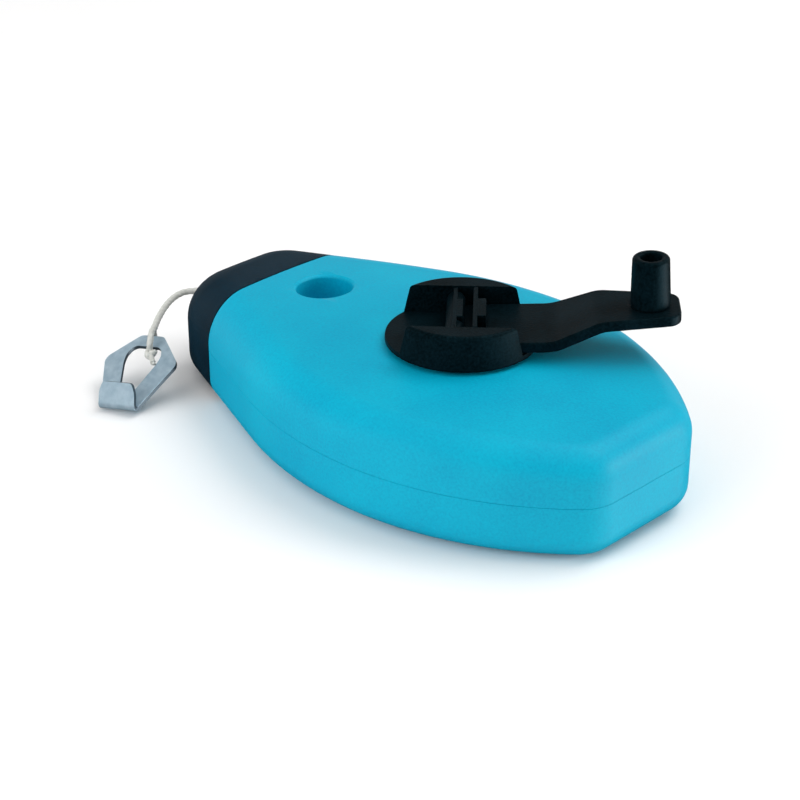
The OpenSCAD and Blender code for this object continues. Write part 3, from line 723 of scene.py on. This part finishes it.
# case: one closed form, then cut into its two shells and its nose cap
caseForm = {
    "halfWidth": 35.6, "widest": -2.7, "frontSide": 79.4, "rearSide": 70.3,  # where it is widest, radii of the sides
    "tail": 48.4, "tailCorner": 8.9, "nose": 71.7, "noseTaper": 21.4, "noseCorner": 12.2,
    "floor": 0.4, "height": 26, "bottomRound": 5.5, "topRound": 5.9, "noseTopRound": 9.4, "roundRamp": 55,
    "crownTail": 418, "crownNose": 803, "crownSide": 284,
    "parting": 12.6, "wall": 2.4, "seam": 0.14, "mouthEdge": 0.5, "capEdge": 53, "capGap": 0.3,
    "bosses": [(35, 15), (35, -15), (-31, 23), (-31, -23)],
    "crownRings": (0.88, 0.86, 0.84, 0.8, 0.75, 0.66, 0.5),  # each one's share of the last
}
parkingWell = {
    "x": -40, "radius": 6, "floor": 16.65, "lip": 1.0, "wall": 2, "fillet": 1, "above": 40, "sides": 72,
    "filletTurns": (0.4, 0.8, 1.2, math.pi / 2), "lipTurns": (0, 0.25, 0.5, 0.75, 1.0, 1.25, 1.42),
}
caseInside = {  # round forms by radius, low and high
    "collar": (11, 19.9, 24.8), "shaftHole": (6.1, 10, 40), "sealSeat": (9.6, 18, 21.4),
    "upperBoss": 3.4, "bossGap": 0.05, "bossUnder": 2.2, "lowerBoss": 4, "inside": 1.4,
    "post": (5, 1.4, 6.8), "step": (8, 1.4, 3.4), "screwSeat": (2.9, -1, 6), "screwHole": (1.5, -1, 14),
    "pad": 0.9, "padEdge": 0.25, "padFront": 4,
}


def caseOutline(form, inset=0):
    rear, front = form["halfWidth"] - form["rearSide"], form["halfWidth"] - form["frontSide"]
    wide = form["widest"]
    tailX = form["tail"] - form["tailCorner"]
    tailY = rear + math.sqrt((form["rearSide"] - form["tailCorner"]) ** 2 - (tailX - wide) ** 2)
    tailTurn = math.degrees(math.atan2(tailY - rear, tailX - wide))
    noseTurn = 90 + form["noseTaper"]
    lean = Vector((math.cos(math.radians(noseTurn)), math.sin(math.radians(noseTurn))))
    noseX = form["noseCorner"] - form["nose"]
    noseY = (lean.x * wide + lean.y * front + form["frontSide"] - form["noseCorner"] - lean.x * noseX) / lean.y
    half = [(form["tail"] - inset, tailY * k / 6) for k in range(7)]
    half += arc(tailX, tailY, form["tailCorner"] - inset, 0, tailTurn, 14)
    half += arc(wide, rear, form["rearSide"] - inset, tailTurn, 90, 22)
    half += arc(wide, front, form["frontSide"] - inset, 90, noseTurn, 14)
    a = Vector((wide, front)) + (form["frontSide"] - inset) * lean
    b = Vector((noseX, noseY)) + (form["noseCorner"] - inset) * lean
    half += [tuple(a.lerp(b, k / 6)) for k in range(1, 7)]
    half += arc(noseX, noseY, form["noseCorner"] - inset, noseTurn, 180, 18)
    half += [(inset - form["nose"], noseY * k) for k in (0.66, 0.33, 0)]
    return half + [(x, -y) for x, y in reversed(half[1:-1])]


def crownAt(form, x, y):
    along = form["crownTail"] if x > 0 else form["crownNose"]
    return form["height"] - y * y / (2 * form["crownSide"]) - x * x / (2 * along)


def growTopRound(body, form):  # the even bevel of the top edge is made larger towards the nose
    outer, step = caseOutline(form), caseOutline(form, 1)
    even, top = form["topRound"], form["height"]
    for vert in body.data.vertices:
        depth = (top - vert.co.z) / even
        if depth > 1.001:
            continue
        turn = math.asin(min(max(1 - depth, -1), 1))
        share = even * (1 - math.cos(turn))
        place = vert.co.xy
        i = min(range(len(outer)),
                key=lambda k: (Vector(outer[k]).lerp(Vector(step[k]), share) - place).length_squared)
        ramp = min(max(-outer[i][0] / form["roundRamp"], 0), 1)
        radius = even + (form["noseTopRound"] - even) * ramp
        x, y = Vector(outer[i]).lerp(Vector(step[i]), radius * (1 - math.cos(turn)))
        vert.co = (x, y, top - radius * (1 - math.sin(turn)))


def makeCaseForm(form):
    body = raised("caseForm", caseOutline(form), form["floor"], form["height"])
    editAll(body)
    for level, radius in ((form["floor"], form["bottomRound"]), (form["height"], form["topRound"])):
        pick(body, "EDGE", lambda p, e: abs(p.z - level) < 0.01)
        bpy.ops.mesh.bevel(offset=radius, segments=12, profile=0.5, affect="EDGES", clamp_overlap=False)
    freshStart()
    growTopRound(body, form)
    editAll(body)
    pick(body, "FACE", lambda p, f: p.z > form["height"] - 0.01 and f.normal.z > 0.99)
    for shrink in form["crownRings"]:  # rings for the crown to bend on
        bpy.ops.mesh.extrude_region_move(TRANSFORM_OT_translate={"value": (0, 0, 0)})
        bpy.ops.transform.resize(value=(shrink, shrink, 1), center_override=(0, 0, form["height"]))
    freshStart()
    for vert in body.data.vertices:
        if vert.co.z > form["parting"] + 0.01:
            vert.co.z += crownAt(form, vert.co.x, vert.co.y) - form["height"]
    tidyNormals(body)
    return body


def easeEdges(obj, test, width, segments=3):
    editAll(obj)
    pick(obj, "EDGE", test)
    bpy.ops.mesh.bevel(offset=width, segments=segments, profile=0.5, affect="EDGES", clamp_overlap=True)
    freshStart()


def outerRim(axis, level):  # edges where the outside meets a cut, for easeEdges
    def test(p, e):
        if max(abs(v.co[axis] - level) for v in e.verts) > 0.005:
            return False
        away = Vector((0 if axis == 0 else p.x, p.y, p.z - caseForm["parting"] if axis == 0 else 0))
        return any(abs(f.normal[axis]) < 0.8 and f.normal.dot(away) > 0 for f in e.link_faces)
    return test


def shellHalf(body, form, name, up):
    shell = copyOf(body, name)
    sliceOff(shell, (0, 0, form["parting"]), (0, 0, -1 if up else 1), False)
    useModifier(shell, "SOLIDIFY", thickness=form["wall"], offset=-1, use_even_offset=True)
    sliceOff(shell, (-form["capEdge"], 0, 0), (-1, 0, 0), True)
    tidyNormals(shell)
    easeEdges(shell, outerRim(2, form["parting"]), form["seam"], 2)
    easeEdges(shell, outerRim(0, -form["capEdge"]), form["mouthEdge"])
    return shell


def cutWell(shell, form, look):
    x, r, lip = look["x"], look["radius"], look["lip"]
    low, fillet, surface = look["floor"], look["fillet"], crownAt(form, x, 0)
    bowl = [(0, low), (r - fillet, low)]
    bowl += [(r - fillet + fillet * math.sin(a), low + fillet - fillet * math.cos(a)) for a in look["filletTurns"]]
    well = lathe("wellCut", bowl + [(r, look["above"]), (0, look["above"])], look["sides"])
    combine(shell, turned(well, (0, 0, 0), (x, 0, 0)), "DIFFERENCE")
    flare = [(r + lip - lip * math.cos(a), lip * math.sin(a) - lip) for a in look["lipTurns"]]
    mouth = lathe("wellLip", [(0, -lip)] + flare + [(r + lip + 0.6, 4), (0, 4)], look["sides"])
    slope = math.degrees(math.atan(-x / form["crownNose"]))
    combine(shell, turned(mouth, (0, -slope, 0), (x, 0, surface)), "DIFFERENCE")


def makeUpperShell(body, form, inner, well):
    shell = shellHalf(body, form, "upperShell", True)
    combine(shell, rod("collar", *inner["collar"]), "UNION")
    x, wall = well["x"], well["wall"]
    wellTop = crownAt(form, x, 0) - 1
    combine(shell, rod("wellWall", well["radius"] + wall, well["floor"] - wall, wellTop, (x, 0)), "UNION")
    for at in form["bosses"]:
        bossTop = crownAt(form, *at) - inner["bossUnder"]
        combine(shell, rod("boss", inner["upperBoss"], form["parting"] + inner["bossGap"], bossTop, at, 32), "UNION")
    combine(shell, rod("shaftHole", *inner["shaftHole"]), "DIFFERENCE")
    combine(shell, rod("sealSeat", *inner["sealSeat"]), "DIFFERENCE")
    cutWell(shell, form, well)
    return finishPiece(shell, "case", caseAbs, ["upper_shell"])


def makeLowerShell(body, form, inner):
    shell = shellHalf(body, form, "lowerShell", False)
    pad = raised("basePad", caseOutline(form, form["bottomRound"] + form["floor"]), 0, inner["pad"])
    sliceOff(pad, (inner["padFront"] - form["capEdge"], 0, 0), (-1, 0, 0), True)
    tidyNormals(pad)
    easeEdges(pad, lambda p, e: max(v.co.z for v in e.verts) < 0.01, inner["padEdge"], 2)
    combine(shell, pad, "UNION")
    for name in ("post", "step"):
        combine(shell, rod(name, *inner[name]), "UNION")
    for at in form["bosses"]:
        combine(shell, rod("boss", inner["lowerBoss"], inner["inside"], form["parting"], at, 40), "UNION")
        combine(shell, rod("screwSeat", *inner["screwSeat"], at, 40), "DIFFERENCE")
        combine(shell, rod("screwHole", *inner["screwHole"], at, 24), "DIFFERENCE")
    return finishPiece(shell, "case", caseAbs, ["lower_shell"])


noseCap = {
    "inset": 2.7, "spigot": 8.3, "spigotWall": 1.6, "deep": 14.1, "draw": (0.62, 0.62), "drawHeight": 11.5,
    "lineHeight": 12.5, "bore": 2.4, "boreAt": 2, "boreReach": 10, "wellNotch": (8.3, 11.95, 40),
}


def makeNoseCap(body, form, look):
    edge = -form["capEdge"] - form["capGap"]
    cap = copyOf(body, "noseCap")
    sliceOff(cap, (edge, 0, 0), (1, 0, 0), True)
    tidyNormals(cap)
    easeEdges(cap, outerRim(0, edge), form["mouthEdge"])
    editAll(cap)
    pick(cap, "FACE", lambda p, f: abs(p.x - edge) < 0.01 and f.normal.x > 0.99 and f.calc_area() > 200)
    bpy.ops.mesh.inset(thickness=look["inset"] - form["mouthEdge"], depth=0)
    bpy.ops.mesh.extrude_region_move(TRANSFORM_OT_translate={"value": (look["spigot"], 0, 0)})
    bpy.ops.mesh.inset(thickness=look["spigotWall"], depth=0)
    bpy.ops.mesh.extrude_region_move(TRANSFORM_OT_translate={"value": (-look["spigot"] - look["deep"], 0, 0)})
    bpy.ops.transform.resize(value=(1, *look["draw"]), center_override=(0, 0, look["drawHeight"]))
    tidyNormals(cap)
    combine(cap, rod("wellNotch", *look["wellNotch"], (parkingWell["x"], 0)), "DIFFERENCE")
    bore = rod("bore", look["bore"], -look["boreReach"], look["boreReach"], sides=48)
    combine(cap, turned(bore, (0, 90, 0), (look["boreAt"] - form["nose"], 0, look["lineHeight"])), "DIFFERENCE")
    return finishPiece(cap, "cap", capPolypropylene, ["nose_cap"])


body = makeCaseForm(caseForm)
makeUpperShell(body, caseForm, caseInside, parkingWell)
makeLowerShell(body, caseForm, caseInside)
makeNoseCap(body, caseForm, noseCap)
bpy.data.objects.remove(body)
print("case done")

# small pieces of the nose and shaft
eyelet = {
    "bore": 1.7, "wall": 0.7, "play": 0.02, "lip": 0.7, "length": 2, "chamfer": 0.1,
    "flange": [(0, 0.3), (0.12, 0.6), (0.3, 0.85), (0.6, 0.98), (0.9, 1),
               (1.25, 0.88), (1.5, 0.7), (1.66, 0.4), (1.7, 0.03)],
}


def makeEyelet(look):
    bore, play, ease, end = look["bore"], look["play"], look["chamfer"], look["length"]
    wall = bore + look["wall"] - play
    profile = [(bore, -end)] + [(bore + r, look["lip"] * h) for r, h in look["flange"]]
    profile += [(wall, play), (wall, ease - end), (wall - ease, -end)]
    ring = turned(lathe("lineEyelet", profile, 48), (0, -90, 0), (-caseForm["nose"], 0, noseCap["lineHeight"]))
    return finishPiece(ring, "cap", zincFastener, ["line_eyelet"])


wiper = {
    "back": 4.4, "thick": 3, "half": 5, "heights": (7.5, 14.5), "edge": 0.45,
    "slit": (-0.9, 2.9), "slitHeights": (12.2, 12.8),
}


def makeWiper(look):
    back = look["back"] - caseForm["nose"]
    low, high = look["heights"]
    pad = block("wiperFelt", (back, -look["half"], low), (back + look["thick"], look["half"], high))
    (left, right), (under, over) = look["slit"], look["slitHeights"]
    combine(pad, block("slit", (back - 1, left, under), (back + look["thick"] + 1, right, over)), "DIFFERENCE")
    roundEdges(pad, look["edge"], 3, 60)
    finishPiece(pad, "cap", woolFelt, ["wiper_felt"])


shaftSeal = {
    "section": [(6.2, 20.1), (6.5, 19.95), (9.2, 19.95), (9.5, 20.2),
                (9.5, 21.1), (9.2, 21.35), (6.5, 21.35), (6.2, 21.1)],
}


def makeSeal(look):
    ring = lathe("shaftSeal", look["section"], 72)
    finishPiece(ring, "case", woolFelt, ["shaft_seal"])


makeEyelet(eyelet)
makeWiper(wiper)
makeSeal(shaftSeal)
print("nose done")

# crank, modelled along +X and turned to where it stands
crank = {
    "stands": 42, "lift": 2.4,  # degrees round, degrees above level
    "floor": 27.5, "pivot": 30.6, "pivotBack": 1.4, "halfWidth": 9.3,
}
crankHub = {
    "base": 26.3, "top": 33.5, "baseRadius": 15.6, "topRadius": 14.5, "topEdge": 0.8,
    "footEase": [(0.5, 0), (0.1, 0.25), (0.1, 0.6)],  # in from the base radius, up from the base
    "channel": 9.55, "journal": 6, "journalFoot": 19.4, "stem": 3.5, "stemFoot": 11.1, "edge": 0.3,
    "pivotHole": (1.45, -12, 12), "screwHole": (1.5, 5, 19.5),
}


def onPivot(obj):  # an upright rod laid along the hinge of the arm
    return turned(obj, (90, 0, 0), (-crank["pivotBack"], 0, crank["pivot"]))


def makeHub(look):
    t, e = look["topRadius"], look["topEdge"]
    lean = math.degrees(math.atan2(look["baseRadius"] - t, look["top"] - look["base"]))
    side = [(0, look["base"])] + [(look["baseRadius"] - x, look["base"] + z) for x, z in look["footEase"]]
    for turn in (lean, 30, 45, 60, 75, 90):
        a = math.radians(turn)
        side.append((t - e + e * math.cos(a), look["top"] - e + e * math.sin(a)))
    hub = lathe("crankHub", side + [(0, look["top"])], 128)
    way = look["channel"]
    combine(hub, block("channel", (-40, -way, crank["floor"]), (40, way, 60)), "DIFFERENCE")
    combine(hub, onPivot(rod("pivotHole", *look["pivotHole"], sides=32)), "DIFFERENCE")
    roundEdges(hub, look["edge"], 3, 55)
    combine(hub, rod("journal", look["journal"], look["journalFoot"], look["base"] + 0.2), "UNION")
    s = look["stem"]
    combine(hub, block("stem", (-s, -s, look["stemFoot"]), (s, s, look["journalFoot"] + 0.5)), "UNION")
    combine(hub, rod("screwHole", *look["screwHole"], sides=32), "DIFFERENCE")
    turned(hub, (0, 0, crank["stands"]))
    return finishPiece(hub, "reel", crankNylon, ["crank_hub"])


crankArm = {
    "thick": 2.2, "root": 29.5, "rise": 3.45, "bend": (17.8, 27.1), "bendRound": 1.4,
    "plan": [(18.2, 9.3), (27.5, 7.9)], "tipRadius": 3.0, "tipCentre": (40.1, 2.9),
    "edge": 0.4, "knuckle": 1.9, "knuckleEdge": 0.3, "trunnion": (1.4, -11.5, 11.5),
    "pinAt": 37.2, "pinHole": (1.6, 20, 50),
    "relief": [(-10, -12, 20), (10.5, 12, 27.9)],  # underside cut away over the hub's channel
    "ribs": [(-1.85, 0.9, 9.3, 33.3), (2.2, 0.9, 9.3, 33.3)],  # place, width, half length, top
    "tabs": [(-1.4, 1.6, 4.1, 33.2), (2.6, 2.2, 4.1, 33.2)], "ribEdge": 0.18,
}


def onArm(obj):  # up by the lift about the pivot, then round to where the crank stands
    turned(obj, (0, 0, 0), (crank["pivotBack"], 0, -crank["pivot"]))
    turned(obj, (0, -crank["lift"], 0), (-crank["pivotBack"], 0, crank["pivot"]))
    return turned(obj, (0, 0, crank["stands"]))


def armHeight(look, x):  # the bend, with both corners eased
    a, b = look["bend"]
    slope = look["rise"] / (b - a)
    def ramp(d):  # zero, then one, through a short parabola
        r = look["bendRound"]
        return 0 if d < -r else d if d > r else (d + r) ** 2 / (4 * r)
    return look["root"] + slope * (ramp(x - a) - ramp(x - b))


def makeArm(look):
    back = -crank["pivotBack"]
    tip = arc(*look["tipCentre"], look["tipRadius"], 90, 0, 9)
    shoulder = (look["tipCentre"][0] + 0.6, look["tipCentre"][1] + look["tipRadius"] - 0.05)
    half = [(back, crank["halfWidth"])] + look["plan"] + [shoulder] + tip[1:]
    outline = half + [(x, -y) for x, y in reversed(half)]
    arm = flatShape("crankArm", list(reversed(outline)), 0)
    r = look["bendRound"]
    for x in [b + r * k / 3 for b in look["bend"] for k in range(-3, 4)]:
        editAll(arm)
        bpy.ops.mesh.bisect(plane_co=(x, 0, 0), plane_no=(1, 0, 0))
    freshStart()
    for vert in arm.data.vertices:
        vert.co.z = armHeight(look, vert.co.x)
    tidyNormals(arm)
    if arm.data.polygons[0].normal.z < 0:
        editAll(arm)
        bpy.ops.mesh.flip_normals()
    useModifier(arm, "SOLIDIFY", thickness=look["thick"], offset=-1, use_even_offset=True)
    roundEdges(arm, look["edge"], 3, 50)
    combine(arm, block("relief", *look["relief"]), "DIFFERENCE")
    knuckle = onPivot(rod("knuckle", look["knuckle"], -crank["halfWidth"], crank["halfWidth"], sides=40))
    roundEdges(knuckle, look["knuckleEdge"], 2)
    combine(arm, knuckle, "UNION")
    combine(arm, onPivot(rod("trunnion", *look["trunnion"], sides=32)), "UNION")
    for x, wide, long, top in look["ribs"] + look["tabs"]:
        rib = block("rib", (x, -long, look["root"] - 1), (x + wide, long, top))
        roundEdges(rib, look["ribEdge"], 2)
        combine(arm, rib, "UNION")
    combine(arm, rod("pinHole", *look["pinHole"], (look["pinAt"], 0), 40), "DIFFERENCE")
    return finishPiece(onArm(arm), "arm", crankNylon, ["crank_arm"])


crankKnob = {
    "foot": 33.05, "height": 10.3, "radius": 3.7, "flare": 0.3, "rim": 0.7, "hole": 2.1, "holeDeep": 4.5, "bore": 1.64,
    "footEase": [(0.25, 0), (0.07, 0.08), (0, 0.3), (0, 0.8)],  # in from the foot's radius, up from the foot
    "holeEase": [(0.5, 0), (0.15, 0.15), (0, 0.5)],  # out from the hole, down from the top
}


def makeKnob(look):
    z, top, r, e = look["foot"], look["foot"] + look["height"], look["radius"], look["rim"]
    foot, bottom = r + look["flare"], top - look["holeDeep"]
    profile = [(look["bore"], z)] + [(foot - x, z + up) for x, up in look["footEase"]]
    profile += [(r - e + e * math.cos(a), top - e + e * math.sin(a)) for a in [math.pi / 2 * k / 6 for k in range(6)]]
    profile += [(look["hole"] + x, top - down) for x, down in look["holeEase"]]
    profile += [(look["hole"], bottom), (look["bore"], bottom)]
    knob = lathe("crankKnob", profile, 64)
    turned(knob, (0, 0, 0), (crankArm["pinAt"], 0, 0))
    return finishPiece(onArm(knob), "knob", crankNylon, ["crank_knob"])


makeHub(crankHub)
makeArm(crankArm)
makeKnob(crankKnob)
print("crank done")

# pieces of the frame that keep their own shape
keptPieces = {
    "case_screws": zincFastener, "hub_screw": zincFastener, "hub_washer": zincFastener, "knob_pin": zincFastener,
    "thrust_washer": spoolPolypropylene, "spool_drum": spoolPolypropylene, "spool_flange": spoolPolypropylene,
}
for node, material in keptPieces.items():
    dress(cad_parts[node], material)
print("kept pieces dressed")
